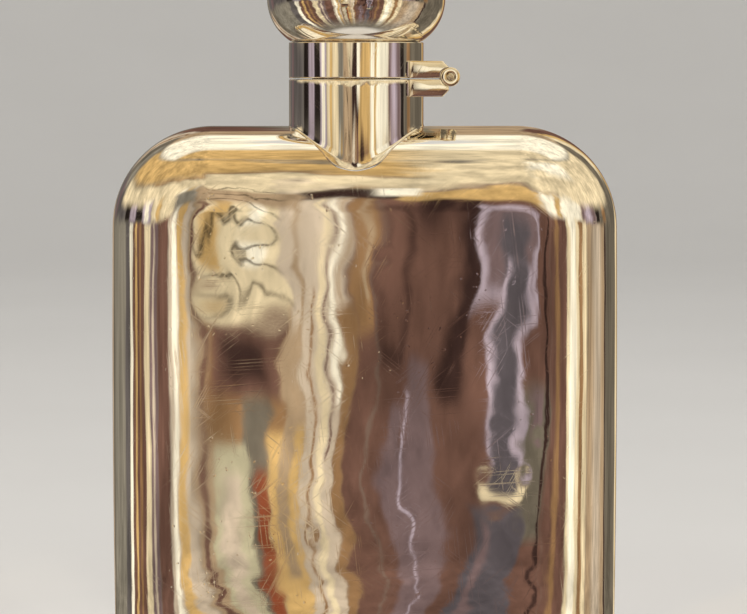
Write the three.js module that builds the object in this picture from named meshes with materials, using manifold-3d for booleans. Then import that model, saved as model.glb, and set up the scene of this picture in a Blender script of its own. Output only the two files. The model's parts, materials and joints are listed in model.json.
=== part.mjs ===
// Hip flask with a hinged bayonet cap, in millimetres.
// +Z is up, +X is the hinge side and the front faces -Y. The origin is the middle of the flat base.
import * as THREE from 'three';
import { mergeVertices } from 'three/addons/utils/BufferGeometryUtils.js';
import Module from 'manifold-3d';

const wasm = await Module();
wasm.setup();

// Body: a flat pillow, bent so that the front is gently convex and the back gently hollow
const BODY_WIDTH = 80;
const BODY_DEPTH = 22.4;
const BODY_BOTTOM = 0.2;
const BODY_TOP = 104;
const BODY_WALL = 1;
const SHOULDER_RADIUS = 15.8;
const HEEL_RADIUS = 14;
const SIDE_ROUNDING = 13;
const BASE_ROUNDING = 5;
const ROUND_POWER = 2.8;
const BODY_BEND = 3;
const SIDE_BOW = 0.011;
const WIDEST_AT = 56;

// Base plate, set into an oblong opening in the underside
const BASE_LENGTH = 56;
const BASE_DEPTH = 15.4;
const BASE_THICKNESS = 2;
const BASE_CHAMFER = 0.3;

// Neck and spout
const NECK_X = -1.3;
const NECK_RADIUS = 10.55;
const NECK_WALL = 1;
const SPLIT = 111.4;
const SPOUT_RADIUS = 6.9;
const SPOUT_BORE = 5.9;
const SPOUT_LOW = 101;
const SPOUT_RISE = 4.4;
const LUG_RADIUS = 0.9;
const LUG_TIP = 8;
const LUG_RISE = 2.8;
const LUG_ROOT_INSET = 0.2;
const NECK_RING_DROP = 0.5;
const NECK_RING_THICKNESS = 1;

// Cap: a collar on the hinge, and a domed knob that turns in it
const COLLAR_WALL = 0.7;
const COLLAR_TOP = SPLIT + 5.55;
const DOME_BOTTOM = COLLAR_TOP + 0.3;
const DOME_RADIUS = 14;
const DOME_WIDEST_AT = SPLIT + 13.2;
const DOME_LOW_HEIGHT = 9.8;
const DOME_HIGH_HEIGHT = 9.4;
const DOME_POWER = 2.35;
const DOME_WALL = 0.8;
const DOME_REBATE = 9.5;
const DOME_RING_THICKNESS = 0.8;
const SLEEVE_RADIUS = 8.3;
const SLEEVE_BORE = 7.5;
const SLEEVE_BOTTOM = SPLIT + 0.5;
const SLEEVE_TOP = SPLIT + 8.4;
const SLEEVE_CROWN = 0.8;
const SLOT_WIDTH = 2.8;
const SLOT_LEG_HEIGHT = 2.5;
const TWIST_ANGLE = Math.PI / 2;
const COLLAR_TOP_EDGE = 0.15;
const FLOOR_RING_RISE = 4.4;
const FLOOR_RING_THICKNESS = 0.9;
const KEEPER_RISE = 3.3;
const KEEPER_THICKNESS = 0.8;
const CORK_CLEARANCE = 0.4;

// Hinge: two bearers, five knuckles on one pin
const HINGE_X = NECK_X + 14.6;
const HINGE_Z = SPLIT + 0.3;
const HINGE_LENGTH = 13.6;
const KNUCKLE_RADIUS = 1.5;
const KNUCKLE_BORE = 0.9;
const KNUCKLE_COUNT = 5;
const PIN_RADIUS = 0.6;
const PIN_PROUD = 0.15;
const BEARER_HEIGHT = 2.7;
const BEARER_CHAMFER = 0.95;
const BEARER_TIP_SHORT = 0.25;

const GAP = 0.3;
const EDGE = 0.3;
const ROUND_SIDES = 48;
const BARREL_SIDES = 28;
const FINE_SIDES = 20;
const CORNER_STEPS = 9;
const STRAIGHT_STEPS = 8;
const FACE_STEPS = 3;
const OUTER_TURN_STEPS = 8;
const INNER_TURN_STEPS = 5;
const FORM_TURN_STEPS = 12;
const DOME_OUTER_STEPS = 13;
const DOME_INNER_STEPS = 7;
// A cutter is longer than what it cuts by at least this much
const OVERCUT = 4;

// ---- Solids ----

// A closed geometry as a solid, with coincident points joined and its faces turned outward
function toSolid(geometry) {
  const bare = geometry.clone();
  bare.deleteAttribute('normal');
  bare.deleteAttribute('uv');
  const merged = mergeVertices(bare, 1e-4);
  const points = merged.attributes.position;
  const corner = [new THREE.Vector3(), new THREE.Vector3(), new THREE.Vector3()];
  const triangles = [];
  let volume = 0;
  for (let i = 0; i < merged.index.count; i += 3) {
    const face = [0, 1, 2].map((k) => merged.index.getX(i + k));
    if (new Set(face).size < 3) continue;
    face.forEach((vertex, k) => corner[k].fromBufferAttribute(points, vertex));
    volume += corner[0].dot(corner[1].cross(corner[2]));
    triangles.push(face);
  }
  if (volume < 0) triangles.forEach((face) => face.reverse());
  const mesh = new wasm.Mesh({
    numProp: 3,
    vertProperties: new Float32Array(points.array),
    triVerts: new Uint32Array(triangles.flat()),
  });
  return new wasm.Manifold(mesh);
}

function toGeometry(solid) {
  const mesh = solid.getMesh();
  const geometry = new THREE.BufferGeometry();
  geometry.setAttribute('position', new THREE.BufferAttribute(new Float32Array(mesh.vertProperties), 3));
  geometry.setIndex(new THREE.BufferAttribute(new Uint32Array(mesh.triVerts), 1));
  geometry.computeVertexNormals();
  return geometry;
}

// A profile of [radius, height] points turned about the vertical line through (x, 0)
function turned(profile, x = NECK_X, sides = ROUND_SIDES) {
  const geometry = new THREE.LatheGeometry(profile.map(([r, z]) => new THREE.Vector2(r, z)), sides);
  geometry.rotateX(Math.PI / 2);
  geometry.translate(x, 0, 0);
  return toSolid(geometry);
}

// A tube or ring between two radii and two heights, with its outer edges chamfered
function ring(inner, outer, low, high, lowEdge = 0, highEdge = 0) {
  const profile = [
    [inner, low],
    [outer - lowEdge, low],
    [outer, low + lowEdge],
    [outer, high - highEdge],
    [outer - highEdge, high],
    [inner, high],
    [inner, low],
  ];
  const repeats = ([r, z], i) => i > 0 && r === profile[i - 1][0] && z === profile[i - 1][1];
  return turned(profile.filter((point, i) => !repeats(point, i)));
}

// A plain rod along Y or Z, centred on a point
function rod(radius, length, axis, x, y, z, sides = FINE_SIDES) {
  const geometry = new THREE.CylinderGeometry(radius, radius, length, sides);
  if (axis === 'z') geometry.rotateX(Math.PI / 2);
  geometry.translate(x, y, z);
  return toSolid(geometry);
}

function extruded(shape, depth, options = {}) {
  return new THREE.ExtrudeGeometry(shape, { depth, bevelEnabled: false, curveSegments: 12, ...options });
}

// ---- Body ----

function bendAt(x) {
  return BODY_BEND * (2 * x / BODY_WIDTH) ** 2;
}

function roundingAt(down) {
  const share = THREE.MathUtils.smoothstep(down, 0, 1);
  return THREE.MathUtils.lerp(SIDE_ROUNDING, BASE_ROUNDING, share);
}

// Stations round the front view of the body: a point, its outward direction and its edge rounding
function bodyOutline() {
  const half = BODY_WIDTH / 2;
  const corners = [
    { x: half - SHOULDER_RADIUS, z: BODY_TOP - SHOULDER_RADIUS, radius: SHOULDER_RADIUS },
    { x: SHOULDER_RADIUS - half, z: BODY_TOP - SHOULDER_RADIUS, radius: SHOULDER_RADIUS },
    { x: HEEL_RADIUS - half, z: BODY_BOTTOM + HEEL_RADIUS, radius: HEEL_RADIUS },
    { x: half - HEEL_RADIUS, z: BODY_BOTTOM + HEEL_RADIUS, radius: HEEL_RADIUS },
  ];
  const onCorner = (corner, angle) => {
    const nx = Math.cos(angle);
    const nz = Math.sin(angle);
    const rounding = roundingAt(-nz);
    return { x: corner.x + corner.radius * nx, z: corner.z + corner.radius * nz, nx, nz, rounding };
  };
  const stations = [];
  corners.forEach((corner, i) => {
    const start = i * Math.PI / 2;
    for (let step = 0; step <= CORNER_STEPS; step += 1) {
      stations.push(onCorner(corner, start + step / CORNER_STEPS * Math.PI / 2));
    }
    const end = stations[stations.length - 1];
    const next = onCorner(corners[(i + 1) % 4], start + Math.PI / 2);
    for (let step = 1; step < STRAIGHT_STEPS; step += 1) {
      const share = step / STRAIGHT_STEPS;
      const x = THREE.MathUtils.lerp(end.x, next.x, share);
      const z = THREE.MathUtils.lerp(end.z, next.z, share);
      stations.push({ ...end, x, z });
    }
  });
  return stations;
}

// A point of the body's skin: turn runs from 0 at the side seam to a right angle on the flat of
// the face, shrink from 1 to 0 runs on from there to the face's middle, and wall lies inward
function skinPoint(station, { side, turn, shrink, wall }) {
  const rounding = station.rounding - wall;
  const inset = wall + rounding * (1 - Math.cos(turn) ** (2 / ROUND_POWER));
  const depth = (BODY_DEPTH / 2 - wall) * Math.sin(turn) ** (2 / ROUND_POWER);
  const middle = (BODY_TOP + BODY_BOTTOM) / 2;
  const z = middle + (station.z - station.nz * inset - middle) * shrink;
  const bow = 1 - SIDE_BOW * ((z - WIDEST_AT) / (BODY_TOP - WIDEST_AT)) ** 2;
  const x = (station.x - station.nx * inset) * shrink * bow;
  return new THREE.Vector3(x, side * depth + bendAt(x), z);
}

// Half of the skin, from the middle of a face out to the seam
function halfSkin(side, wall, turnSteps, seam) {
  const firstTurn = Math.asin((seam / (BODY_DEPTH / 2 - wall)) ** (ROUND_POWER / 2));
  const depths = [];
  for (let step = 0; step < FACE_STEPS; step += 1) {
    depths.push({ side, wall, turn: Math.PI / 2, shrink: step / FACE_STEPS });
  }
  for (let step = 0; step <= turnSteps; step += 1) {
    const turn = THREE.MathUtils.lerp(Math.PI / 2, firstTurn, step / turnSteps);
    depths.push({ side, wall, turn, shrink: 1 });
  }
  return depths;
}

// A closed skin: the lathe gives rings of points, which are moved out to the body's outline
function skinSolid(depths) {
  const stations = bodyOutline();
  const placeholder = depths.map((depth, i) => new THREE.Vector2(0, i));
  const geometry = new THREE.LatheGeometry(placeholder, stations.length);
  const points = geometry.attributes.position;
  for (let i = 0; i <= stations.length; i += 1) {
    depths.forEach((depth, j) => {
      const point = skinPoint(stations[i % stations.length], depth);
      points.setXYZ(i * depths.length + j, point.x, point.y, point.z);
    });
  }
  return toSolid(geometry);
}

function bodyShell(side) {
  const outer = halfSkin(side, 0, OUTER_TURN_STEPS, GAP / 2);
  const inner = halfSkin(side, BODY_WALL, INNER_TURN_STEPS, GAP / 2).reverse();
  const spoutHole = rod(SPOUT_RADIUS + GAP, 3 * OVERCUT, 'z', NECK_X, 0, BODY_TOP, ROUND_SIDES);
  return skinSolid([...outer, ...inner]).subtract(spoutHole).subtract(baseOpening());
}

// The body's whole outer form, grown by a clearance, for cutting what is seated on it
function bodyForm(clearance) {
  const front = halfSkin(-1, -clearance, FORM_TURN_STEPS, 0);
  const back = halfSkin(1, -clearance, FORM_TURN_STEPS, 0).reverse();
  return skinSolid([...front, ...back.slice(1)]);
}

// An oblong with round ends, bent like the body, lying in the plane of the base
function oblong(length, depth, edgeSteps = 14, endSteps = 8) {
  const radius = depth / 2;
  const reach = length / 2 - radius;
  const outline = [];
  [-1, 1].forEach((side) => {
    for (let step = 0; step < edgeSteps; step += 1) {
      outline.push([side * THREE.MathUtils.lerp(-reach, reach, step / edgeSteps), side * -radius]);
    }
    for (let step = 0; step < endSteps; step += 1) {
      const angle = (step / endSteps - 0.5) * Math.PI;
      outline.push([side * (reach + radius * Math.cos(angle)), side * radius * Math.sin(angle)]);
    }
  });
  return new THREE.Shape(outline.map(([x, y]) => new THREE.Vector2(x, y + bendAt(x))));
}

function baseOpening() {
  const cutter = extruded(oblong(BASE_LENGTH + 2 * GAP, BASE_DEPTH + 2 * GAP), 2 * OVERCUT);
  cutter.translate(0, 0, -OVERCUT);
  return toSolid(cutter);
}

function basePlate() {
  const bevel = {
    bevelEnabled: true,
    bevelThickness: BASE_CHAMFER,
    bevelSize: BASE_CHAMFER,
    bevelOffset: -BASE_CHAMFER,
    bevelSegments: 1,
  };
  const plate = extruded(oblong(BASE_LENGTH, BASE_DEPTH), BASE_THICKNESS - 2 * BASE_CHAMFER, bevel);
  plate.translate(0, 0, BASE_CHAMFER);
  return toSolid(plate);
}

// ---- Neck ----

// The neck's lower rim is cut to sit on the rounded shoulder
function neckTube() {
  const low = BODY_TOP - SIDE_ROUNDING;
  const tube = ring(NECK_RADIUS - NECK_WALL, NECK_RADIUS, low, SPLIT - GAP / 2, 0, EDGE);
  return tube.subtract(bodyForm(GAP));
}

function neckTopRing() {
  const high = SPLIT - NECK_RING_DROP;
  return ring(SPOUT_RADIUS + GAP, NECK_RADIUS - NECK_WALL - GAP, high - NECK_RING_THICKNESS, high);
}

function neckSpout() {
  const tube = ring(SPOUT_BORE, SPOUT_RADIUS, SPOUT_LOW, SPLIT + SPOUT_RISE, 0, EDGE);
  const lugHoles = rod(LUG_RADIUS + GAP, 4 * SPOUT_RADIUS, 'y', NECK_X, 0, SPLIT + LUG_RISE);
  return tube.subtract(lugHoles);
}

// A stud through the spout's wall, whose tip runs in the cap's slot
function bayonetLug(side) {
  const root = SPOUT_BORE + LUG_ROOT_INSET;
  const middle = side * (LUG_TIP + root) / 2;
  return rod(LUG_RADIUS, LUG_TIP - root, 'y', NECK_X, middle, SPLIT + LUG_RISE);
}

// ---- Cap ----

function capCollar() {
  const low = SPLIT + GAP / 2;
  return ring(NECK_RADIUS - COLLAR_WALL, NECK_RADIUS, low, COLLAR_TOP, EDGE, COLLAR_TOP_EDGE);
}

// The collar's inner floor, which the knob's sleeve turns in
function capFloorRing() {
  const low = SPLIT + FLOOR_RING_RISE;
  return ring(SLEEVE_RADIUS + GAP, NECK_RADIUS - COLLAR_WALL - GAP, low, low + FLOOR_RING_THICKNESS);
}

// Fixed round the sleeve below the floor, it keeps the knob in the collar
function knobRetainingRing() {
  const low = SPLIT + KEEPER_RISE;
  return ring(SLEEVE_RADIUS + GAP / 2, NECK_RADIUS - COLLAR_WALL - GAP, low, low + KEEPER_THICKNESS);
}

// Points [radius, height] up the dome, from its foot to its top
function domeProfile(wall, steps) {
  const radius = DOME_RADIUS - wall;
  const low = DOME_LOW_HEIGHT - wall;
  const high = DOME_HIGH_HEIGHT - wall;
  const foot = Math.asin(((DOME_WIDEST_AT - DOME_BOTTOM) / low) ** (DOME_POWER / 2));
  const points = [];
  for (let step = 0; step <= steps; step += 1) {
    const angle = THREE.MathUtils.lerp(-foot, Math.PI / 2, step / steps);
    const height = Math.abs(Math.sin(angle)) ** (2 / DOME_POWER) * (angle < 0 ? -low : high);
    const reach = step === steps ? 0 : radius * Math.cos(angle) ** (2 / DOME_POWER);
    points.push([reach, DOME_WIDEST_AT + height]);
  }
  return points;
}

// The dome's foot has a rebate inside, which takes the base ring
function capDome() {
  const inner = domeProfile(DOME_WALL, DOME_INNER_STEPS).reverse();
  const shell = turned([...inner, ...domeProfile(0, DOME_OUTER_STEPS)]);
  const rebateHeight = DOME_RING_THICKNESS + 2 * GAP;
  return shell.subtract(rod(DOME_REBATE, 2 * rebateHeight, 'z', NECK_X, 0, DOME_BOTTOM, ROUND_SIDES));
}

// It closes the dome's foot round the sleeve
function domeBaseRing() {
  const low = DOME_BOTTOM + GAP / 2;
  return ring(SLEEVE_RADIUS + GAP / 2, DOME_REBATE - GAP, low, low + DOME_RING_THICKNESS);
}

// A ring sector between two angles, as a solid cutter for the level leg of a bayonet slot
function slotLeg(start, sweep) {
  const shape = new THREE.Shape();
  const outer = SLEEVE_RADIUS + 1;
  const inner = SLEEVE_BORE - 1;
  shape.absarc(0, 0, outer, start, start + sweep, false);
  shape.absarc(0, 0, inner, start + sweep, start, true);
  const leg = extruded(shape, SLOT_LEG_HEIGHT, { curveSegments: 16 });
  leg.translate(NECK_X, 0, SPLIT + LUG_RISE - SLOT_LEG_HEIGHT / 2);
  return toSolid(leg);
}

// The sleeve is a cup, open below. Each slot rises from its rim and then runs level for a quarter turn.
function bayonetSleeve() {
  const cup = turned([
    [0, SLEEVE_TOP],
    [SLEEVE_RADIUS, SLEEVE_TOP],
    [SLEEVE_RADIUS, SLEEVE_BOTTOM],
    [SLEEVE_BORE, SLEEVE_BOTTOM],
    [SLEEVE_BORE, SLEEVE_TOP - SLEEVE_CROWN],
    [0, SLEEVE_TOP - SLEEVE_CROWN],
  ]);
  const legTop = SPLIT + LUG_RISE + SLOT_LEG_HEIGHT / 2;
  const mouth = new THREE.BoxGeometry(SLOT_WIDTH, 4 * SLEEVE_RADIUS, 2 * (legTop - SLEEVE_BOTTOM));
  mouth.translate(NECK_X, 0, SLEEVE_BOTTOM);
  const margin = (LUG_RADIUS + GAP) / SLEEVE_BORE;
  const sweep = TWIST_ANGLE + margin;
  const slots = [Math.PI / 2, -Math.PI / 2].map((start) => slotLeg(start, sweep));
  return cup.subtract(toSolid(mouth)).subtract(slots[0]).subtract(slots[1]);
}

function corkSeal() {
  const low = SPLIT + SPOUT_RISE + CORK_CLEARANCE;
  const high = SLEEVE_TOP - SLEEVE_CROWN - GAP;
  const radius = SLEEVE_BORE - GAP;
  return turned([
    [0, high],
    [radius - EDGE, high],
    [radius, high - EDGE],
    [radius, low + EDGE],
    [radius - EDGE, low],
    [0, low],
  ]);
}

// ---- Hinge ----

// A block between the neck and the knuckles; side is 1 on the cap and -1 on the neck
function hingeBearer(side) {
  const near = SPLIT + side * GAP / 2;
  const far = near + side * BEARER_HEIGHT;
  const tip = HINGE_X - BEARER_TIP_SHORT;
  const root = NECK_X + NECK_RADIUS - OVERCUT;
  const outline = [
    [root, near],
    [root, far],
    [tip - BEARER_CHAMFER, far],
    [tip, far - side * BEARER_CHAMFER],
    [tip, near],
  ];
  const shape = new THREE.Shape(outline.map(([x, z]) => new THREE.Vector2(x, z)));
  const block = extruded(shape, HINGE_LENGTH);
  block.rotateX(Math.PI / 2);
  block.translate(0, HINGE_LENGTH / 2, 0);
  const neck = rod(NECK_RADIUS + GAP, 2 * BEARER_HEIGHT + OVERCUT, 'z', NECK_X, 0, SPLIT, ROUND_SIDES);
  const barrel = rod(KNUCKLE_RADIUS + GAP, HINGE_LENGTH + OVERCUT, 'y', HINGE_X, 0, HINGE_Z, BARREL_SIDES);
  return toSolid(block).subtract(neck).subtract(barrel);
}

function hingeKnuckle(place) {
  const length = (HINGE_LENGTH - (KNUCKLE_COUNT - 1) * GAP) / KNUCKLE_COUNT;
  const y = -HINGE_LENGTH / 2 + length / 2 + place * (length + GAP);
  const barrel = rod(KNUCKLE_RADIUS, length, 'y', HINGE_X, y, HINGE_Z, BARREL_SIDES);
  return barrel.subtract(rod(KNUCKLE_BORE, length + OVERCUT, 'y', HINGE_X, y, HINGE_Z, FINE_SIDES));
}

function hingePin() {
  return rod(PIN_RADIUS, HINGE_LENGTH + 2 * PIN_PROUD, 'y', HINGE_X, 0, HINGE_Z, FINE_SIDES);
}

// ---- Assembly ----

const FINISHES = {
  silver: { color: 0xd9d2c5, roughness: 0.08, metalness: 1 },
  gilt: { color: 0xd8b56a, roughness: 0.2, metalness: 1 },
  steel: { color: 0x9a958c, roughness: 0.3, metalness: 1 },
  cork: { color: 0xb98a58, roughness: 0.9, metalness: 0 },
};

function piece(name, solid, finish = 'silver') {
  const mesh = new THREE.Mesh(toGeometry(solid), new THREE.MeshStandardMaterial(FINISHES[finish]));
  mesh.name = name;
  return mesh;
}

const body = new THREE.Group();
body.add(
  piece('body_front_shell', bodyShell(-1)),
  piece('body_back_shell', bodyShell(1)),
  piece('base_plate', basePlate()),
  piece('neck_tube', neckTube()),
  piece('neck_top_ring', neckTopRing()),
  piece('neck_spout', neckSpout(), 'gilt'),
  piece('bayonet_lug_front', bayonetLug(-1), 'gilt'),
  piece('bayonet_lug_rear', bayonetLug(1), 'gilt'),
  piece('hinge_bearer_neck', hingeBearer(-1)),
  piece('hinge_pin', hingePin(), 'steel'),
);

const collar = new THREE.Group();
collar.add(
  piece('cap_collar_ring', capCollar()),
  piece('cap_floor_ring', capFloorRing()),
  piece('hinge_bearer_cap', hingeBearer(1)),
);

const knob = new THREE.Group();
knob.add(
  piece('cap_dome', capDome()),
  piece('dome_base_ring', domeBaseRing()),
  piece('bayonet_sleeve', bayonetSleeve(), 'gilt'),
  piece('knob_retaining_ring', knobRetainingRing(), 'gilt'),
  piece('cork_seal', corkSeal(), 'cork'),
);

// The knuckles alternate along the pin, with the cap's at both ends
for (let place = 0; place < KNUCKLE_COUNT; place += 1) {
  const onCap = place % 2 === 0;
  const group = onCap ? collar : body;
  group.add(piece(`hinge_knuckle_${onCap ? 'cap' : 'neck'}_${place + 1}`, hingeKnuckle(place)));
}

const flask = new THREE.Group();
flask.add(body, collar, knob);

export default flask;
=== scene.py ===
"""Looks of the hip flask: fine meshes and polished-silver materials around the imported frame."""

import json
import math

import bmesh
import bpy
import numpy as np
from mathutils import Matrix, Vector, noise


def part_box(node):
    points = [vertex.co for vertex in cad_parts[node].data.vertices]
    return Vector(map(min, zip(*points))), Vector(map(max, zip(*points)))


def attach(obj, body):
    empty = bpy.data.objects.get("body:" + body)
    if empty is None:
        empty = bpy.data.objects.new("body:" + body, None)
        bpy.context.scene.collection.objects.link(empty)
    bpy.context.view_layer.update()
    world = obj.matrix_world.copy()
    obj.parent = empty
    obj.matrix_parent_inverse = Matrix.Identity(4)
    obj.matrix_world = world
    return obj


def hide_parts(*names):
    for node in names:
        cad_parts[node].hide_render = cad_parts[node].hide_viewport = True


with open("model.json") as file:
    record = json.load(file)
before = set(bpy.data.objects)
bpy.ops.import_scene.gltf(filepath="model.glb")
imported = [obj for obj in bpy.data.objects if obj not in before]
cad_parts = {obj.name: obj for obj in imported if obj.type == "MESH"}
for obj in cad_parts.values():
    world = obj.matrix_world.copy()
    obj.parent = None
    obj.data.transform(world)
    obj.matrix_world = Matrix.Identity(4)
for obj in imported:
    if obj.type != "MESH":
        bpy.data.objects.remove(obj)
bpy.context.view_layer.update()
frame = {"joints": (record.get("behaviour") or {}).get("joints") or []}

MM = 0.001


# ---- Dimensions, from the frame where it has them ----

# Lowest and highest corners of the CAD nodes
FRONT_LOW, FRONT_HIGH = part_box("body_front_shell")
TUBE_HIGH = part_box("neck_tube")[1]
SPOUT_LOW, SPOUT_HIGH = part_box("neck_spout")
TOP_RING_LOW, TOP_RING_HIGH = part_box("neck_top_ring")
COLLAR_LOW, COLLAR_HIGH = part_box("cap_collar_ring")
FLOOR_LOW, FLOOR_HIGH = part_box("cap_floor_ring")
DOME_LOW, DOME_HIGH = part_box("cap_dome")
DOME_RING_LOW, DOME_RING_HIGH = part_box("dome_base_ring")
SLEEVE_LOW, SLEEVE_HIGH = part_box("bayonet_sleeve")
KEEPER_LOW, KEEPER_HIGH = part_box("knob_retaining_ring")
CORK_LOW, CORK_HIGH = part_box("cork_seal")
LUG_LOW, LUG_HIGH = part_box("bayonet_lug_rear")
PIN_LOW, PIN_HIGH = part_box("hinge_pin")
BASE_LOW, BASE_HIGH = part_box("base_plate")

HALF_WIDTH = 40 * MM
HALF_DEPTH = -FRONT_LOW.y
BODY_TOP = FRONT_HIGH.z
BODY_BOTTOM = 0.2 * MM
BODY_WALL = 1 * MM
SHOULDER_RADIUS = 15.8 * MM
HEEL_RADIUS = 14 * MM
SIDE_ROUNDING = 13 * MM
BASE_ROUNDING = 5 * MM
ROUND_POWER = 2.8
BODY_BEND = 3 * MM
SIDE_BOW = 0.011
WIDEST_AT = 56 * MM
# The base plate's ends begin this far in from its own ends
BASE_END = 7.7 * MM

NECK_X = (DOME_LOW.x + DOME_HIGH.x) / 2
NECK_RADIUS = TUBE_HIGH.y
NECK_WALL = 1 * MM
SPLIT = (TUBE_HIGH.z + COLLAR_LOW.z) / 2
COLLAR_WALL = 0.7 * MM
SEAM = (COLLAR_HIGH.z + DOME_LOW.z) / 2
SPOUT_RADIUS = SPOUT_HIGH.y
SPOUT_BORE = SPOUT_RADIUS - 1 * MM
DOME_RADIUS = DOME_HIGH.y
DOME_WIDEST_AT = SPLIT + 13.2 * MM
DOME_LOW_HEIGHT = 9.8 * MM
DOME_HIGH_HEIGHT = DOME_HIGH.z - DOME_WIDEST_AT
DOME_POWER = 2.35
DOME_WALL = 0.8 * MM
# The dome's inner lip, which the ring at its foot is soldered into
DOME_LIP_RADIUS = 9.5 * MM
DOME_LIP_HEIGHT = 1.4 * MM
SLEEVE_RADIUS = SLEEVE_HIGH.y
SLEEVE_WALL = 0.8 * MM
SLEEVE_BORE = SLEEVE_RADIUS - SLEEVE_WALL
LUG_RADIUS = (LUG_HIGH.x - LUG_LOW.x) / 2
LUG_HEIGHT = (LUG_LOW.z + LUG_HIGH.z) / 2
# Half the width of a slot's mouth, half the height of its level leg, and how far the leg runs on
SLOT_HALF_MOUTH = 1.4 * MM
SLOT_HALF_LEG = 1.25 * MM
SLOT_RUN_ON = 1.2 * MM

JOINTS = {joint["name"]: joint for joint in frame["joints"]}
HINGE = Vector(JOINTS["cap_hinge"]["pos_m"])
HINGE_LENGTH = 13.6 * MM
KNUCKLE_RADIUS = 1.5 * MM
KNUCKLES = 5
PIN_RADIUS = (PIN_HIGH.x - PIN_LOW.x) / 2
BEARER_HEIGHT = 2.7 * MM
BEARER_CHAMFER = 0.95 * MM
# The bearers stop this far short of the hinge's axis
BEARER_SHORT = 0.25 * MM

HAIRLINE = 0.03 * MM
SPLIT_GAP = 0.07 * MM


# ---- Mesh helpers ----

def mesh_piece(name, points, faces):
    """A new smooth object from points and faces, with its faces turned outward."""
    mesh = bpy.data.meshes.new(name)
    mesh.from_pydata([tuple(p) for p in points], [], faces)
    piece = bpy.data.objects.new(name, mesh)
    bpy.context.scene.collection.objects.link(piece)
    work = bmesh.new()
    work.from_mesh(mesh)
    bmesh.ops.remove_doubles(work, verts=work.verts, dist=1e-7)
    bare = [edge for edge in work.edges if not edge.link_faces]
    bmesh.ops.delete(work, geom=bare, context="EDGES")
    bmesh.ops.recalc_face_normals(work, faces=work.faces)
    work.to_mesh(mesh)
    work.free()
    mesh.polygons.foreach_set("use_smooth", [True] * len(mesh.polygons))
    mesh.update()
    return piece


def apply_modifiers(piece):
    """Bakes a piece's modifiers into its mesh."""
    graph = bpy.context.evaluated_depsgraph_get()
    done = bpy.data.meshes.new_from_object(piece.evaluated_get(graph))
    piece.modifiers.clear()
    piece.data = done


def weigh_normals(piece):
    """Keeps the flats flat beside the small rounded edges."""
    modifier = piece.modifiers.new("weighted", "WEIGHTED_NORMAL")
    modifier.weight = 100
    apply_modifiers(piece)
    return piece


def cut(piece, cutter):
    """Takes the cutter's shape out of a piece."""
    modifier = piece.modifiers.new("cut", "BOOLEAN")
    modifier.operation = "DIFFERENCE"
    modifier.solver = "EXACT"
    modifier.object = cutter
    apply_modifiers(piece)
    bpy.data.objects.remove(cutter)
    work = bmesh.new()
    work.from_mesh(piece.data)
    bmesh.ops.dissolve_degenerate(work, dist=1e-7, edges=work.edges)
    work.to_mesh(piece.data)
    work.free()


def filleted(corners, radii, steps=5):
    """A closed outline of (u, v) corners with each corner turned into an arc of its own radius."""
    corners = [np.array(c, float) for c in corners]
    if not isinstance(radii, (list, tuple)):
        radii = [radii] * len(corners)
    outline = []
    for i, corner in enumerate(corners):
        before = corners[i - 1] - corner
        after = corners[(i + 1) % len(corners)] - corner
        reach_before, reach_after = np.linalg.norm(before), np.linalg.norm(after)
        before, after = before / reach_before, after / reach_after
        half = math.acos(np.clip(before @ after, -1, 1)) / 2
        if radii[i] <= 0 or half > math.radians(88):
            outline.append(corner)
            continue
        tangent = min(radii[i] / math.tan(half), 0.45 * reach_before, 0.45 * reach_after)
        radius = tangent * math.tan(half)
        bisector = (before + after) / np.linalg.norm(before + after)
        centre = corner + bisector * radius / math.sin(half)
        start = corner + before * tangent - centre
        end = corner + after * tangent - centre
        for step in range(steps + 1):
            share = step / steps
            sweep = math.acos(np.clip(start @ end / (radius * radius), -1, 1))
            if sweep < 1e-6:
                outline.append(corner)
                break
            weight_start = math.sin((1 - share) * sweep) / math.sin(sweep)
            weight_end = math.sin(share * sweep) / math.sin(sweep)
            outline.append(centre + start * weight_start + end * weight_end)
    return outline


def around(sides):
    """Cosines and sines of equal steps round a circle."""
    angles = [2 * math.pi * i / sides for i in range(sides)]
    return [(math.cos(angle), math.sin(angle)) for angle in angles]


def quarter(steps, first=0):
    """Cosines and sines of the steps of a quarter turn."""
    turns = [step / steps * math.pi / 2 for step in range(first, steps + 1)]
    return [(math.cos(turn), math.sin(turn)) for turn in turns]


def bands(count, size, closed):
    """Faces between equal rings of points, and from the last to the first where it is closed."""
    faces = []
    for i in range(count if closed else count - 1):
        j = (i + 1) % count
        for k in range(size):
            m = (k + 1) % size
            faces.append((i * size + k, i * size + m, j * size + m, j * size + k))
    return faces


def closed_rings(name, rings):
    """A torus-like mesh through equal closed rings of points, the last joined to the first."""
    points = [p for ring in rings for p in ring]
    return mesh_piece(name, points, bands(len(rings), len(rings[0]), True))


def lofted(name, rings):
    """A solid through equal closed rings of points, with flat ends."""
    size = len(rings[0])
    points = [p for ring in rings for p in ring]
    ends = [tuple(range(size)), tuple((len(rings) - 1) * size + k for k in reversed(range(size)))]
    return mesh_piece(name, points, ends + bands(len(rings), size, False))


def turned(name, outline, sides=160):
    """A closed outline of (radius, height), or one that ends on the axis, turned about the neck's axis."""
    rings = [[(NECK_X + r * c, r * s, z) for r, z in outline] for c, s in around(sides)]
    return closed_rings(name, rings)


def turned_on_hinge(name, outline, sides=64):
    """An outline of (radius, y) turned about the hinge's axis."""
    rings = [[(HINGE.x + r * c, y, HINGE.z + r * s) for r, y in outline] for c, s in around(sides)]
    return closed_rings(name, rings)


def ring_outline(inner, outer, low, high, radii=0.08 * MM):
    """Section of a ring; the radii are at its inner foot, outer foot, outer top and inner top."""
    return filleted([(inner, low), (outer, low), (outer, high), (inner, high)], radii)


# ---- Body ----

def bend_at(x):
    """How far back the body's middle surface lies at x."""
    return BODY_BEND * (x / HALF_WIDTH) ** 2


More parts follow.
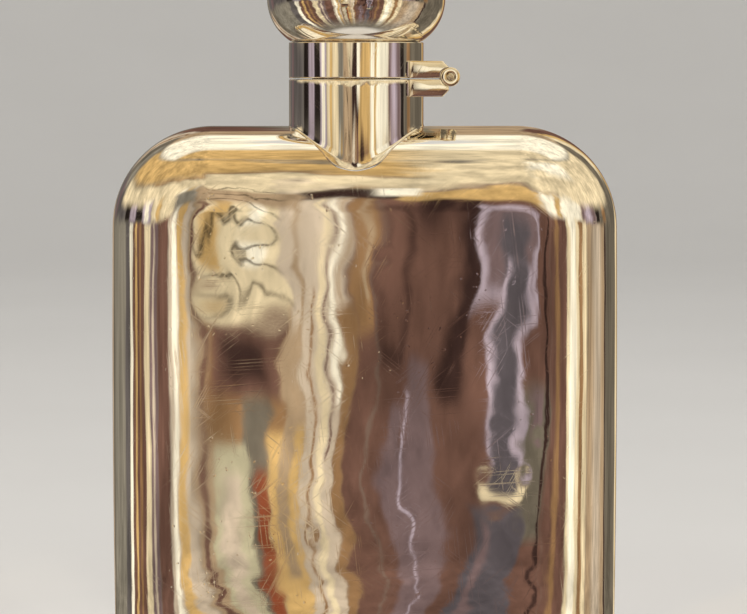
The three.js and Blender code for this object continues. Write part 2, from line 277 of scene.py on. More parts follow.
def smoothstep(low, high, value):
    share = np.clip((value - low) / (high - low), 0, 1)
    return share * share * (3 - 2 * share)


def bowed(x, z):
    """The sides bow out very slightly towards mid height."""
    return x * (1 - SIDE_BOW * ((z - WIDEST_AT) / (BODY_TOP - WIDEST_AT)) ** 2)


CORNER_STEPS = 28
TOP_STEPS = 56
SIDE_STEPS = 84
# A corner's steps that count to the body's side; the rest count to its top or its base
SHOULDER_SPLIT = 14
HEEL_SPLIT = 17
ALONG = TOP_STEPS + 2 * (CORNER_STEPS - SHOULDER_SPLIT)
UP = SIDE_STEPS + SHOULDER_SPLIT + HEEL_SPLIT
BASE_STEPS = ALONG - 2 * (CORNER_STEPS - HEEL_SPLIT)


def body_outline():
    """Stations round the front view: x, z, outward nx, nz and edge rounding, from the right shoulder."""
    shoulder_x, shoulder_z = HALF_WIDTH - SHOULDER_RADIUS, BODY_TOP - SHOULDER_RADIUS
    heel_x, heel_z = HALF_WIDTH - HEEL_RADIUS, BODY_BOTTOM + HEEL_RADIUS
    corners = [
        (shoulder_x, shoulder_z, SHOULDER_RADIUS),
        (-shoulder_x, shoulder_z, SHOULDER_RADIUS),
        (-heel_x, heel_z, HEEL_RADIUS),
        (heel_x, heel_z, HEEL_RADIUS),
    ]

    def on_corner(which, angle):
        x, z, radius = corners[which % 4]
        nx, nz = math.cos(angle), math.sin(angle)
        return np.array([x + radius * nx, z + radius * nz, nx, nz])

    stations = []
    for which, straight in enumerate((TOP_STEPS, SIDE_STEPS, BASE_STEPS, SIDE_STEPS)):
        start, end = which * math.pi / 2, (which + 1) * math.pi / 2
        for step in range(CORNER_STEPS):
            stations.append(on_corner(which, start + (end - start) * step / CORNER_STEPS))
        here, there = on_corner(which, end), on_corner(which + 1, end)
        for step in range(straight):
            stations.append(here + (there - here) * step / straight)
    stations = np.roll(np.array(stations), -SHOULDER_SPLIT, axis=0)
    down = smoothstep(0, 1, -stations[:, 3])
    rounding = SIDE_ROUNDING + (BASE_ROUNDING - SIDE_ROUNDING) * down
    return np.column_stack([stations, rounding])


def skin_ring(stations, side, turn, wall):
    """One ring of the skin: turn runs from 0 at the side seam to a right angle on the face."""
    x, z, nx, nz, rounding = stations.T
    inset = wall + (rounding - wall) * (1 - max(math.cos(turn), 0) ** (2 / ROUND_POWER))
    depth = (HALF_DEPTH - wall) * math.sin(turn) ** (2 / ROUND_POWER)
    z = z - nz * inset
    x = bowed(x - nx * inset, z)
    return np.column_stack([x, side * depth + bend_at(x), z])


def face_grid(stations, side, wall):
    """The flat of a face, filled across from its own edge: rows of points between the four sides."""
    x, z, nx, nz, rounding = stations.T
    edge = np.column_stack([x - nx * rounding, z - nz * rounding])
    top = edge[: ALONG + 1][::-1]
    left = edge[ALONG : ALONG + UP + 1][::-1]
    bottom = edge[ALONG + UP : 2 * ALONG + UP + 1]
    right = np.vstack([edge[2 * ALONG + UP :], edge[:1]])
    u = np.linspace(0, 1, ALONG + 1)[None, :, None]
    v = np.linspace(0, 1, UP + 1)[:, None, None]
    between = (1 - v) * bottom[None] + v * top[None] + (1 - u) * left[:, None] + u * right[:, None]
    below = (1 - u) * bottom[0] + u * bottom[-1]
    above = (1 - u) * top[0] + u * top[-1]
    plane = between - (1 - v) * below - v * above
    x, z = plane[..., 0], plane[..., 1]
    x = bowed(x, z)
    y = side * (HALF_DEPTH - wall) + bend_at(x)
    return np.stack([x, y, z], axis=-1)


def face_numbers(rim, first_inner):
    """Point numbers of a face grid: its edge is the ring that starts at rim."""
    numbers = np.zeros((UP + 1, ALONG + 1), int)
    numbers[UP, ::-1] = rim + np.arange(ALONG + 1)
    numbers[::-1, 0] = rim + ALONG + np.arange(UP + 1)
    numbers[0] = rim + ALONG + UP + np.arange(ALONG + 1)
    numbers[:, ALONG] = rim + (2 * ALONG + UP + np.arange(UP + 1)) % (2 * (ALONG + UP))
    inner = numbers[1:-1, 1:-1]
    inner[:] = first_inner + np.arange(inner.size).reshape(inner.shape)
    return numbers


def skin_layer(stations, side, wall, rings, first_turn, seam_inset=0):
    """One closed-over sheet of the skin, from the seam to the middle of the face."""
    turns = [first_turn + (math.pi / 2 - first_turn) * step / rings for step in range(rings + 1)]
    layers = [skin_ring(stations, side, turn, wall) for turn in turns]
    if seam_inset:
        lip = skin_ring(stations, side, first_turn, wall + seam_inset)
        lip[:, 1] = side * HAIRLINE + bend_at(lip[:, 0])
        layers.insert(0, lip)
    count = len(stations)
    points = np.vstack(layers)
    grid = face_grid(stations, side, wall)
    numbers = face_numbers(len(points) - count, len(points))
    points = np.vstack([points, grid[1:-1, 1:-1].reshape(-1, 3)])
    faces = bands(len(layers), count, False)
    for row in range(numbers.shape[0] - 1):
        for column in range(numbers.shape[1] - 1):
            near, far = numbers[row, column : column + 2], numbers[row + 1, column : column + 2]
            faces.append(tuple(int(n) for n in (*near, *far[::-1])))
    return points, faces


# Heights of the broad and the middling waves of a hand-raised skin
BROAD_WAVES = 0.055 * MM
MIDDLE_WAVES = 0.016 * MM
# Dents on the front: x, z, half-width, half-height and depth in millimetres
DENTS = [
    (21.8, 49.0, 3.0, 2.0, 0.012),
    (18.4, 50.6, 1.0, 1.2, 0.014),
    (25.0, 50.4, 1.0, 1.2, 0.014),
    (20.2, 44.4, 1.3, 1.2, 0.014),
    (23.6, 42.0, 1.4, 1.8, 0.014),
    (21.2, 38.6, 1.6, 2.0, 0.012),
    (27.2, 56.0, 1.0, 1.2, 0.02),
    (21.0, 58.0, 1.4, 1.0, 0.02),
    (3.0, 84.0, 1.2, 0.9, 0.02),
    (-8.0, 41.0, 0.9, 1.2, 0.02),
    (-23.5, 78.0, 4.0, 3.0, 0.05),
    (-17.0, 86.0, 5.0, 2.5, 0.05),
    (-14.0, 74.0, 3.0, 4.0, 0.03),
]


def worn_depth(x, z, side):
    """How far the skin lies inside its true form, in metres: hand-raised waviness and small dents."""
    seed = 3.1 if side < 0 else 8.7
    broad = noise.noise(Vector((x * 42, seed, z * 26)))
    middle = noise.noise(Vector((x * 95, seed + 5, z * 62)))
    depth = BROAD_WAVES * (broad + 1) + MIDDLE_WAVES * (middle + 1)
    if side < 0:
        for dent_x, dent_z, half_width, half_height, deep in DENTS:
            away = ((x / MM - dent_x) / half_width) ** 2 + ((z / MM - dent_z) / half_height) ** 2
            if away < 6:
                depth += deep * MM * math.exp(-away)
    return depth


def make_body_shell(side):
    """A shell from its side seam to the middle of its face: side is -1 in front and 1 behind."""
    name = "body_front" if side < 0 else "body_back"
    stations = body_outline()
    seam = 0.1 * MM
    overcut = 8 * MM
    outer_turn = math.asin((seam / HALF_DEPTH) ** (ROUND_POWER / 2))
    inner_turn = math.asin((HAIRLINE / (HALF_DEPTH - BODY_WALL)) ** (ROUND_POWER / 2))
    points, faces = skin_layer(stations, side, 0, 30, outer_turn, seam_inset=0.05 * MM)
    for point in points:
        flatness = abs(point[1] - bend_at(point[0])) / HALF_DEPTH
        share = smoothstep(0.05, 0.8, flatness)
        if share > 0:
            point[1] -= side * share * worn_depth(point[0], point[2], side)
    inner_points, inner_faces = skin_layer(stations, side, BODY_WALL, 8, inner_turn)
    shift, count = len(points), len(stations)
    faces += [tuple(n + shift for n in face) for face in inner_faces]
    for k in range(count):
        m = (k + 1) % count
        faces.append((k, m, shift + m, shift + k))
    piece = mesh_piece(name, np.vstack([points, inner_points]), faces)
    hole = ring_outline(0, SPOUT_RADIUS + HAIRLINE, BODY_TOP - overcut, BODY_TOP + overcut, 0)
    cut(piece, turned("hole", hole, 96))
    cut(piece, oblong_piece("opening", 0.04 * MM, [(0, -overcut / 2), (0, overcut / 2)]))
    return piece


# ---- Base plate ----

def oblong_ring(inset, z, edge_steps=60, end_steps=28):
    """The base plate's outline, drawn in by an inset and bent like the body."""
    radius = (BASE_HIGH.y - BASE_LOW.y - bend_at(BASE_HIGH.x - BASE_END)) / 2
    reach = BASE_HIGH.x - radius
    radius -= inset
    ring = []
    for side in (-1, 1):
        for step in range(edge_steps):
            ring.append((side * reach * (2 * step / edge_steps - 1), -side * radius))
        for step in range(end_steps):
            angle = (step / end_steps - 0.5) * math.pi
            ring.append((side * (reach + radius * math.cos(angle)), side * radius * math.sin(angle)))
    return [(x, y + bend_at(x), z) for x, y in ring]


def oblong_piece(name, grow, levels):
    """A bent oblong slab through (inset, z) levels, closed by flat ends."""
    return lofted(name, [oblong_ring(inset - grow, z) for inset, z in levels])


def make_base_plate():
    edge = 0.45 * MM
    levels = [(edge * (1 - s), edge * (1 - c)) for c, s in quarter(6)]
    levels.append((0, BASE_HIGH.z))
    return weigh_normals(oblong_piece("base_plate_fine", 0, levels))


# ---- Neck ----

def shoulder_height(x, y):
    """Height of the shoulder's outer skin above a point of the plan, near the neck."""
    across = min(abs(y - bend_at(x)) / HALF_DEPTH, 0.9999)
    return BODY_TOP - SIDE_ROUNDING * (1 - (1 - across ** ROUND_POWER) ** (1 / ROUND_POWER))


def make_neck_tube(sides=256):
    """A tube from the split down to the shoulder, where a fillet of solder runs out on the skin.
    The fillet is highest at the front and the back, and spreads most a little to each side of them."""
    top = SPLIT - SPLIT_GAP
    edge = 0.22 * MM
    inner_edge = 0.06 * MM
    inner = NECK_RADIUS - NECK_WALL
    under = NECK_RADIUS - 0.3 * MM
    rings = []
    for c, s in around(sides):
        aside = math.degrees(math.asin(min(1, abs(c))))
        fillet = (0.45 + 0.55 * math.exp(-(aside / 22) ** 2)) * MM
        spread = (0.1 + 0.28 * math.exp(-((aside - 21) / 10) ** 2)) * MM

        def at(radius, z):
            return (NECK_X + radius * c, radius * s, z)

        def seat(radius):
            return shoulder_height(NECK_X + radius * c, radius * s) + HAIRLINE

        foot = seat(NECK_RADIUS)
        ring = [at(inner, seat(inner) + 0.1 * MM), at(inner, top - inner_edge), at(inner + inner_edge, top)]
        for across, up in quarter(4):
            ring.append(at(NECK_RADIUS - edge + edge * up, top - edge + edge * across))
        for step in range(1, 13):
            ring.append(at(NECK_RADIUS, top - edge + (foot + fillet - top + edge) * step / 12))
        for across, up in quarter(5, 1):
            flare = NECK_RADIUS + spread * (1 - across)
            ring.append(at(flare, seat(flare) + fillet * (1 - up)))
        ring.append(at(under, seat(under)))
        rings.append(ring)
    return closed_rings("neck_tube_fine", rings)


def make_neck_top_ring():
    outline = ring_outline(SPOUT_RADIUS + HAIRLINE, NECK_RADIUS - NECK_WALL - HAIRLINE,
                           TOP_RING_LOW.z, TOP_RING_HIGH.z)
    return weigh_normals(turned("neck_top_ring_fine", outline))


def make_spout():
    radii = [0.1 * MM, 0.1 * MM, 0.45 * MM, 0.45 * MM]
    outline = ring_outline(SPOUT_BORE, SPOUT_RADIUS, SPOUT_LOW.z, SPOUT_HIGH.z, radii)
    return weigh_normals(turned("neck_spout_fine", outline))


def make_lug(side):
    """A stud with a rounded tip, seated on the spout's wall."""
    root = SPOUT_RADIUS - 0.3 * MM
    outline = ring_outline(0, LUG_RADIUS, root, LUG_HIGH.y, [0, 0, 0.35 * MM, 0])
    rings = [[(NECK_X + r * c, side * y, LUG_HEIGHT + r * s) for r, y in outline] for c, s in around(48)]
    return closed_rings(f"bayonet_lug_{'front' if side < 0 else 'rear'}_fine", rings)


# ---- Cap ----

def make_collar():
    radii = [0.06 * MM, 0.22 * MM, 0.14 * MM, 0.06 * MM]
    outline = ring_outline(NECK_RADIUS - COLLAR_WALL, NECK_RADIUS, SPLIT + SPLIT_GAP, SEAM - HAIRLINE, radii)
    return weigh_normals(turned("cap_collar_fine", outline, 256))


def dome_outline(wall, steps):
    """Points (radius, height) up the dome, from its foot to its top."""
    radius, low, high = DOME_RADIUS - wall, DOME_LOW_HEIGHT - wall, DOME_HIGH_HEIGHT - wall
    foot = math.asin(((DOME_WIDEST_AT - SEAM) / low) ** (DOME_POWER / 2))
    points = []
    for step in range(steps + 1):
        angle = -foot + (math.pi / 2 + foot) * step / steps
        height = abs(math.sin(angle)) ** (2 / DOME_POWER) * (-low if angle < 0 else high)
        reach = 0 if step == steps else radius * math.cos(angle) ** (2 / DOME_POWER)
        points.append((reach, DOME_WIDEST_AT + height))
    return points


def make_dome():
    """A shell with a flat foot, whose inner side steps out to the lip."""
    outer = dome_outline(0, 96)
    foot_radius = outer[0][0]
    foot = SEAM + HAIRLINE
    edge = 0.12 * MM
    rim = [(DOME_LIP_RADIUS, foot + DOME_LIP_HEIGHT), (DOME_LIP_RADIUS, foot)]
    rim += [(foot_radius - edge + edge * s, foot + edge * (1 - c)) for c, s in quarter(3)]
    outer = [p for p in outer if p[1] > foot + edge]
    inner = [p for p in dome_outline(DOME_WALL, 40) if p[1] > foot + DOME_LIP_HEIGHT + 0.1 * MM][::-1]
    return turned("cap_dome_fine", inner + rim + outer, 256)


def make_floor_ring():
    outline = ring_outline(SLEEVE_RADIUS + 0.1 * MM, NECK_RADIUS - COLLAR_WALL - HAIRLINE,
                           FLOOR_LOW.z, FLOOR_HIGH.z)
    return weigh_normals(turned("cap_floor_ring_fine", outline))


def make_dome_ring():
    outline = ring_outline(SLEEVE_RADIUS + HAIRLINE, DOME_LIP_RADIUS - 0.1 * MM,
                           DOME_RING_LOW.z, DOME_RING_HIGH.z)
    return weigh_normals(turned("dome_base_ring_fine", outline))


def make_keeper():
    outline = ring_outline(SLEEVE_RADIUS + HAIRLINE, KEEPER_HIGH.y, KEEPER_LOW.z, KEEPER_HIGH.z, 0.15 * MM)
    return weigh_normals(turned("knob_retaining_ring_fine", outline))


def make_cork():
    radii = [0, 0.35 * MM, 0.3 * MM, 0]
    outline = ring_outline(0, SLEEVE_BORE - 0.05 * MM, CORK_LOW.z, CORK_HIGH.z, radii)
    return turned("cork_seal_fine", outline, 96)


def sector(name, inner, outer, start, sweep, low, high, steps=40):
    """A ring sector between two angles and two heights."""
    rings = []
    for step in range(steps + 1):
        angle = start + sweep * step / steps
        c, s = math.cos(angle), math.sin(angle)
        corners = [(inner, low), (outer, low), (outer, high), (inner, high)]
        rings.append([(NECK_X + r * c, r * s, z) for r, z in corners])
    return lofted(name, rings)


def make_sleeve():
    """A cup open below, with two slots that rise from its rim and run level for a quarter turn."""
    low, high = SLEEVE_LOW.z, SLEEVE_HIGH.z
    outline = filleted(
        [(0, high), (SLEEVE_RADIUS, high), (SLEEVE_RADIUS, low),
         (SLEEVE_BORE, low), (SLEEVE_BORE, high - SLEEVE_WALL), (0, high - SLEEVE_WALL)],
        [0, 0.3 * MM, 0.12 * MM, 0.12 * MM, 0.3 * MM, 0])
    piece = turned("bayonet_sleeve_fine", outline)
    half_mouth = SLOT_HALF_MOUTH / SLEEVE_BORE
    reach = math.pi / 2 + SLOT_RUN_ON / SLEEVE_BORE
    through = (SLEEVE_BORE - MM, SLEEVE_RADIUS + MM)
    for start in (math.pi / 2, -math.pi / 2):
        cut(piece, sector("leg", *through, start - half_mouth, reach + half_mouth,
                          LUG_HEIGHT - SLOT_HALF_LEG, LUG_HEIGHT + SLOT_HALF_LEG))
        cut(piece, sector("mouth", *through, start - half_mouth, 2 * half_mouth, low - MM, LUG_HEIGHT, 8))
    for polygon in piece.data.polygons:
        polygon.use_smooth = True
    piece.data.set_sharp_from_angle(angle=math.radians(35))
    return piece


# ---- Hinge ----

def bearer_outline(side, y):
    """Section of a hinge bearer at one y: side is 1 on the cap and -1 on the neck."""
    near = SPLIT + side * SPLIT_GAP
    far = near + side * BEARER_HEIGHT
    tip = HINGE.x - BEARER_SHORT
    left = NECK_X + math.sqrt((NECK_RADIUS + HAIRLINE) ** 2 - y * y)
    barrel = KNUCKLE_RADIUS + HAIRLINE
    corners = [(left, near), (left, far), (tip - BEARER_CHAMFER, far), (tip, far - side * BEARER_CHAMFER)]
    outline = filleted(corners + [(tip, near)], [0.03 * MM, 0.1 * MM, 0.2 * MM, 0.08 * MM, 0], 4)[:-1]
    start = math.atan2(side * math.sqrt(barrel ** 2 - BEARER_SHORT ** 2), -BEARER_SHORT)
    end = math.pi - math.asin((near - HINGE.z) / barrel)
    if side < 0:
        start += 2 * math.pi
    for step in range(17):
        angle = start + (end - start) * step / 16
        outline.append((HINGE.x + barrel * math.cos(angle), HINGE.z + barrel * math.sin(angle)))
    return [np.array(p) for p in outline]


def make_bearer(side):
    """The sections are lofted along the hinge. Both ends have a rounded edge and bulge slightly."""
    half = HINGE_LENGTH / 2
    edge, crown = 0.16 * MM, 0.08 * MM
    inner = half - crown - edge
    levels = [(-inner * (1 - step / 20), 0, 1) for step in range(41)]
    levels += [(inner + edge * s, edge * (1 - c), 1) for c, s in quarter(5, 1)]
    levels += [(inner + edge, edge, share) for share in (0.85, 0.7, 0.55, 0.4, 0.25, 0.12)]
    levels = [(-y, inset, share) for y, inset, share in levels[:40:-1]] + levels
    middle = SPLIT + side * (SPLIT_GAP + BEARER_HEIGHT / 2)
    rings = []
    for y, inset, share in levels:
        outline = bearer_outline(side, y)
        centre = sum(outline) / len(outline)
        ring = []
        for point in outline:
            away = point - centre
            reach = np.linalg.norm(away)
            x, z = centre + away * share * (reach - inset) / reach
            bulge = crown * (1 - min(1, ((z - middle) / (BEARER_HEIGHT / 2)) ** 2))
            outward = max(0, abs(y) - inner) / edge
            ring.append((x, y + math.copysign(bulge * min(1, outward), y), z))
        rings.append(ring)
    return lofted(f"hinge_bearer_{'cap' if side > 0 else 'neck'}_fine", rings)


def make_knuckle(node, number):
    """One of the equal knuckles, counted from the front."""
    length = HINGE_LENGTH / KNUCKLES
    low = -HINGE_LENGTH / 2 + number * length + HAIRLINE
    high = low + length - 2 * HAIRLINE
    radii = [0.05 * MM, 0.14 * MM, 0.14 * MM, 0.05 * MM]
    outline = ring_outline(PIN_RADIUS + 0.04 * MM, KNUCKLE_RADIUS, low, high, radii)
    return weigh_normals(turned_on_hinge(f"{node}_fine", outline))


def make_pin():
    """A wire with riveted, slightly domed ends."""
    outline = ring_outline(0, PIN_RADIUS, -PIN_HIGH.y, PIN_HIGH.y, [0, 0.22 * MM, 0.22 * MM, 0])
    return turned_on_hinge("hinge_pin_fine", outline)


# ---- Materials ----

class Nodes:
    """Short calls for building one material's node tree."""

    def __init__(self, name):
        self.material = bpy.data.materials.new(name)
        self.material.use_nodes = True
        self.tree = self.material.node_tree
        self.shader = self.tree.nodes["Principled BSDF"]

    def add(self, kind, values=None, **settings):
        node = self.tree.nodes.new(kind)
        for key, value in settings.items():
            setattr(node, key, value)
        for key, value in (values or {}).items():
            if isinstance(value, bpy.types.NodeSocket):
                self.tree.links.new(value, node.inputs[key])
            else:
                node.inputs[key].default_value = value
        return node

    def math(self, operation, a, b=0.0, clamp=False):
        return self.add("ShaderNodeMath", {0: a, 1: b}, operation=operation, use_clamp=clamp).outputs[0]

    def coordinates(self, scale=(1, 1, 1), rotation=(0, 0, 0)):
        """Object coordinates, turned first and then scaled."""
        source = self.add("ShaderNodeTexCoord").outputs["Object"]
        turn = self.add("ShaderNodeMapping", {"Vector": source, "Rotation": rotation})
        return self.add("ShaderNodeMapping", {"Vector": turn.outputs[0], "Scale": scale}).outputs[0]

    def noise(self, vector, scale, detail=3.0, rough=0.5):
        values = {"Vector": vector, "Scale": scale, "Detail": detail, "Roughness": rough}
        return self.add("ShaderNodeTexNoise", values).outputs[0]

    def ramp(self, value, stops):
        node = self.add("ShaderNodeValToRGB", {"Fac": value})
        elements = node.color_ramp.elements
        while len(elements) < len(stops):
            elements.new(0.5)
        for element, (position, color) in zip(elements, stops):
            element.position = position
            element.color = (*color, 1)
        return node.outputs[0]

    def spread(self, value, low, high, out_low=0.0, out_high=1.0):
        values = {"Value": value, "From Min": low, "From Max": high, "To Min": out_low, "To Max": out_high}
        return self.add("ShaderNodeMapRange", values, clamp=True).outputs[0]

    def mix(self, share, a, b):
        """Colour a where the share is 0 and colour b where it is 1."""
        node = self.add("ShaderNodeMix", data_type="RGBA")
        for key, value in ((0, share), (6, a), (7, b)):
            if isinstance(value, bpy.types.NodeSocket):
                self.tree.links.new(value, node.inputs[key])
            elif key == 0:
                node.inputs[key].default_value = value
            else:
                node.inputs[key].default_value = (*value, 1)
        return node.outputs[2]

    def set(self, socket, value):
        if isinstance(value, bpy.types.NodeSocket):
            self.tree.links.new(value, self.shader.inputs[socket])
        elif isinstance(value, tuple) and len(value) == 3:
            self.shader.inputs[socket].default_value = (*value, 1)
        else:
            self.shader.inputs[socket].default_value = value

    def bump(self, height, strength, distance, **values):
        values.update(Height=height, Strength=strength, Distance=distance)
        self.set("Normal", self.add("ShaderNodeBump", values).outputs[0])


def scratches(nodes, angles):
    """Fine straight scratches: the peaks of a noise drawn out along each angle, shown in patches."""
    total = None
    for i, angle in enumerate(angles):
        drawn_out = nodes.coordinates((55, 55, 6500), (0, math.radians(angle), 0))
        thin = nodes.spread(nodes.noise(drawn_out, 1.0, 0.0), 0.7, 0.76)
        patches = nodes.noise(nodes.coordinates((1, 1, 1), (0.3 * i, 0.7 * i, 0)), 90 + 25 * i, 2.0)
        layer = nodes.math("MULTIPLY", thin, nodes.spread(patches, 0.5, 0.75))
        total = layer if total is None else nodes.math("MAXIMUM", total, layer)
    return total


def silver(name, tint, roughness=0.018, scratch_share=1.0):
    """Polished silver: fine scratches and pits, smudges that dull it, and faint warm tarnish."""
    nodes = Nodes(name)
    plain = nodes.coordinates()
    lines = scratches(nodes, (4, 38, 61, 97, 142))
    pitted = nodes.spread(nodes.noise(plain, 75, 2.0), 0.5, 0.7)
    pits = nodes.math("MULTIPLY", nodes.spread(nodes.noise(plain, 1150, 1.0), 0.72, 0.8), pitted)
    marks = nodes.math("MULTIPLY", nodes.math("MAXIMUM", lines, pits), scratch_share)
    smudge = nodes.spread(nodes.noise(plain, 55, 5.0, 0.6), 0.45, 0.75)
    rough = nodes.math("ADD", nodes.math("MULTIPLY", marks, 0.12), nodes.math("MULTIPLY", smudge, 0.05))
    nodes.set("Roughness", nodes.math("ADD", rough, roughness))
    patina = nodes.spread(nodes.noise(plain, 90, 6.0, 0.65), 0.5, 0.85, 0.0, 0.25)
    worn = tuple(c * k for c, k in zip(tint, (0.86, 0.79, 0.66)))
    nodes.set("Base Color", nodes.mix(patina, tint, worn))
    nodes.set("Metallic", 1.0)
    grain = nodes.math("MULTIPLY", nodes.noise(plain, 2400, 2.0), 0.12)
    height = nodes.math("SUBTRACT", grain, nodes.math("MULTIPLY", marks, 0.35))
    sunk = {"Height": pits, "Strength": 0.5, "Distance": 0.02 * MM}
    pitting = nodes.add("ShaderNodeBump", sunk, invert=True)
    nodes.bump(height, 0.12, 0.02 * MM, Normal=pitting.outputs[0])
    return nodes.material


def gilt(name):
    """Worn gilding over silver inside the cap and on the spout."""
    nodes = Nodes(name)
    plain = nodes.coordinates()
    wear = nodes.spread(nodes.noise(plain, 160, 5.0, 0.6), 0.5, 0.7)
    nodes.set("Base Color", nodes.mix(wear, (0.9, 0.66, 0.33), (0.86, 0.8, 0.68)))
    nodes.set("Metallic", 1.0)
    nodes.set("Roughness", nodes.spread(nodes.noise(plain, 500, 4.0), 0.3, 0.7, 0.14, 0.32))
    nodes.bump(nodes.noise(nodes.coordinates((60, 60, 9000)), 1.0, 2.0), 0.15, 0.03 * MM)
    return nodes.material


def wire_steel(name):
    """Drawn steel wire with a fine grain along it."""
    nodes = Nodes(name)
    grain = nodes.noise(nodes.coordinates((4000, 150, 4000)), 1.0, 3.0)
    nodes.set("Base Color", nodes.mix(grain, (0.78, 0.72, 0.6), (0.6, 0.55, 0.47)))
    nodes.set("Metallic", 1.0)
    nodes.set("Roughness", nodes.spread(grain, 0.3, 0.7, 0.16, 0.36))
    nodes.bump(grain, 0.2, 0.02 * MM)
    return nodes.material


def cork(name):
    """Cork with dark pores and granules."""
    nodes = Nodes(name)
    plain = nodes.coordinates()
    cells = nodes.add("ShaderNodeTexVoronoi", {"Vector": plain, "Scale": 900.0})
    grain = nodes.noise(plain, 1300, 5.0, 0.65)
    base = nodes.ramp(grain, [(0.3, (0.30, 0.17, 0.08)), (0.5, (0.56, 0.37, 0.2)), (0.7, (0.72, 0.52, 0.31))])
    pores = nodes.spread(nodes.noise(plain, 2600, 3.0), 0.62, 0.7)
    nodes.set("Base Color", nodes.mix(pores, base, (0.12, 0.06, 0.03)))
    nodes.set("Roughness", nodes.spread(grain, 0.3, 0.7, 0.75, 0.95))
    height = nodes.math("SUBTRACT", cells.outputs["Distance"], pores)
    nodes.bump(height, 0.6, 0.2 * MM)
    return nodes.material


# ---- Stage ----

# Light that the silver reflects, as linear colours
WHITE = (1.08, 1.0, 0.80)
CREAM = (0.82, 0.68, 0.44)
PALE = (0.60, 0.49, 0.37)
BEIGE = (0.42, 0.30, 0.185)
OLIVE = (0.52, 0.47, 0.31)
GOLD = (0.66, 0.43, 0.17)
DULL_GOLD = (0.30, 0.17, 0.08)
RUST = (0.28, 0.075, 0.035)
BROWN = (0.162, 0.084, 0.062)
UMBER = (0.045, 0.024, 0.02)
INK = (0.022, 0.016, 0.014)
MAUVE = (0.20, 0.135, 0.135)
LAVENDER = (0.50, 0.41, 0.47)
GREY = (0.25, 0.225, 0.18)
TAUPE = (0.165, 0.14, 0.105)
SLATE = (0.115, 0.098, 0.108)
ASH = (0.125, 0.11, 0.105)
FLOOR_GLOW = (0.23, 0.205, 0.165)
# Colour of the thin dark lines painted into the reflection at the upper left of the face
DARK_REFLECTION_LINE = (0.07, 0.05, 0.03)

